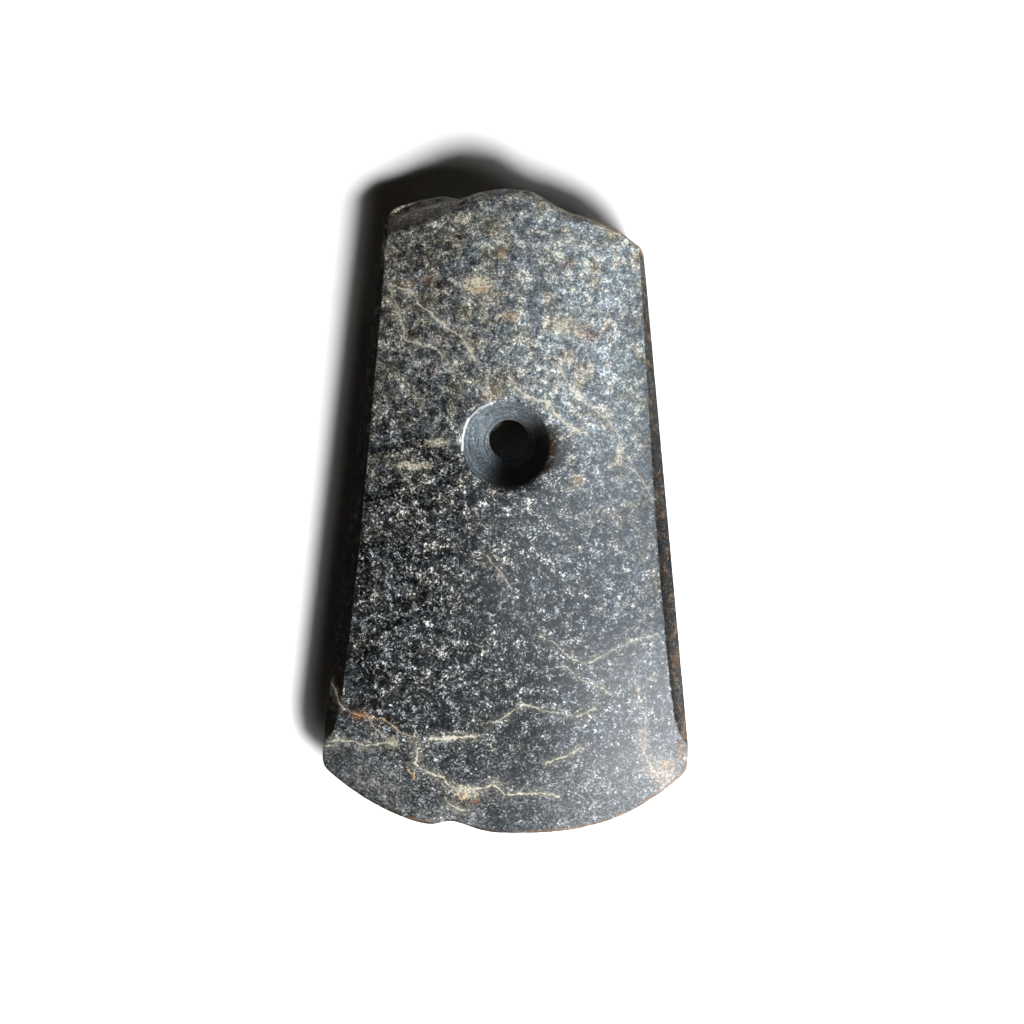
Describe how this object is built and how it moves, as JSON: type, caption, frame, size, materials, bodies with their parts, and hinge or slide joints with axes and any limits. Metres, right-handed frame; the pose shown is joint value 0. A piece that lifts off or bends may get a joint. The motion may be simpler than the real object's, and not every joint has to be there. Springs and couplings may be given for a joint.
{
  "type": "polished stone axe head",
  "caption": "Flat trapezoid axe head of ground and polished speckled stone, with a curved cutting edge, a chipped butt and a hole drilled from both faces for lashing to a haft.",
  "frame": {"origin": "middle of the plan, on the surface that the axe lies on", "axes": "+X across the axe, +Y from the cutting edge to the butt, +Z out of the front face"},
  "size_m": [0.0908, 0.1598, 0.0202],
  "materials": {
    "speckled_stone": "ground and polished dark grey-green stone with pale crystals and cream veins, softly glossy"
  },
  "bodies": {
    "root": {"axe_head": "speckled_stone"}
  },
  "joints": []
}
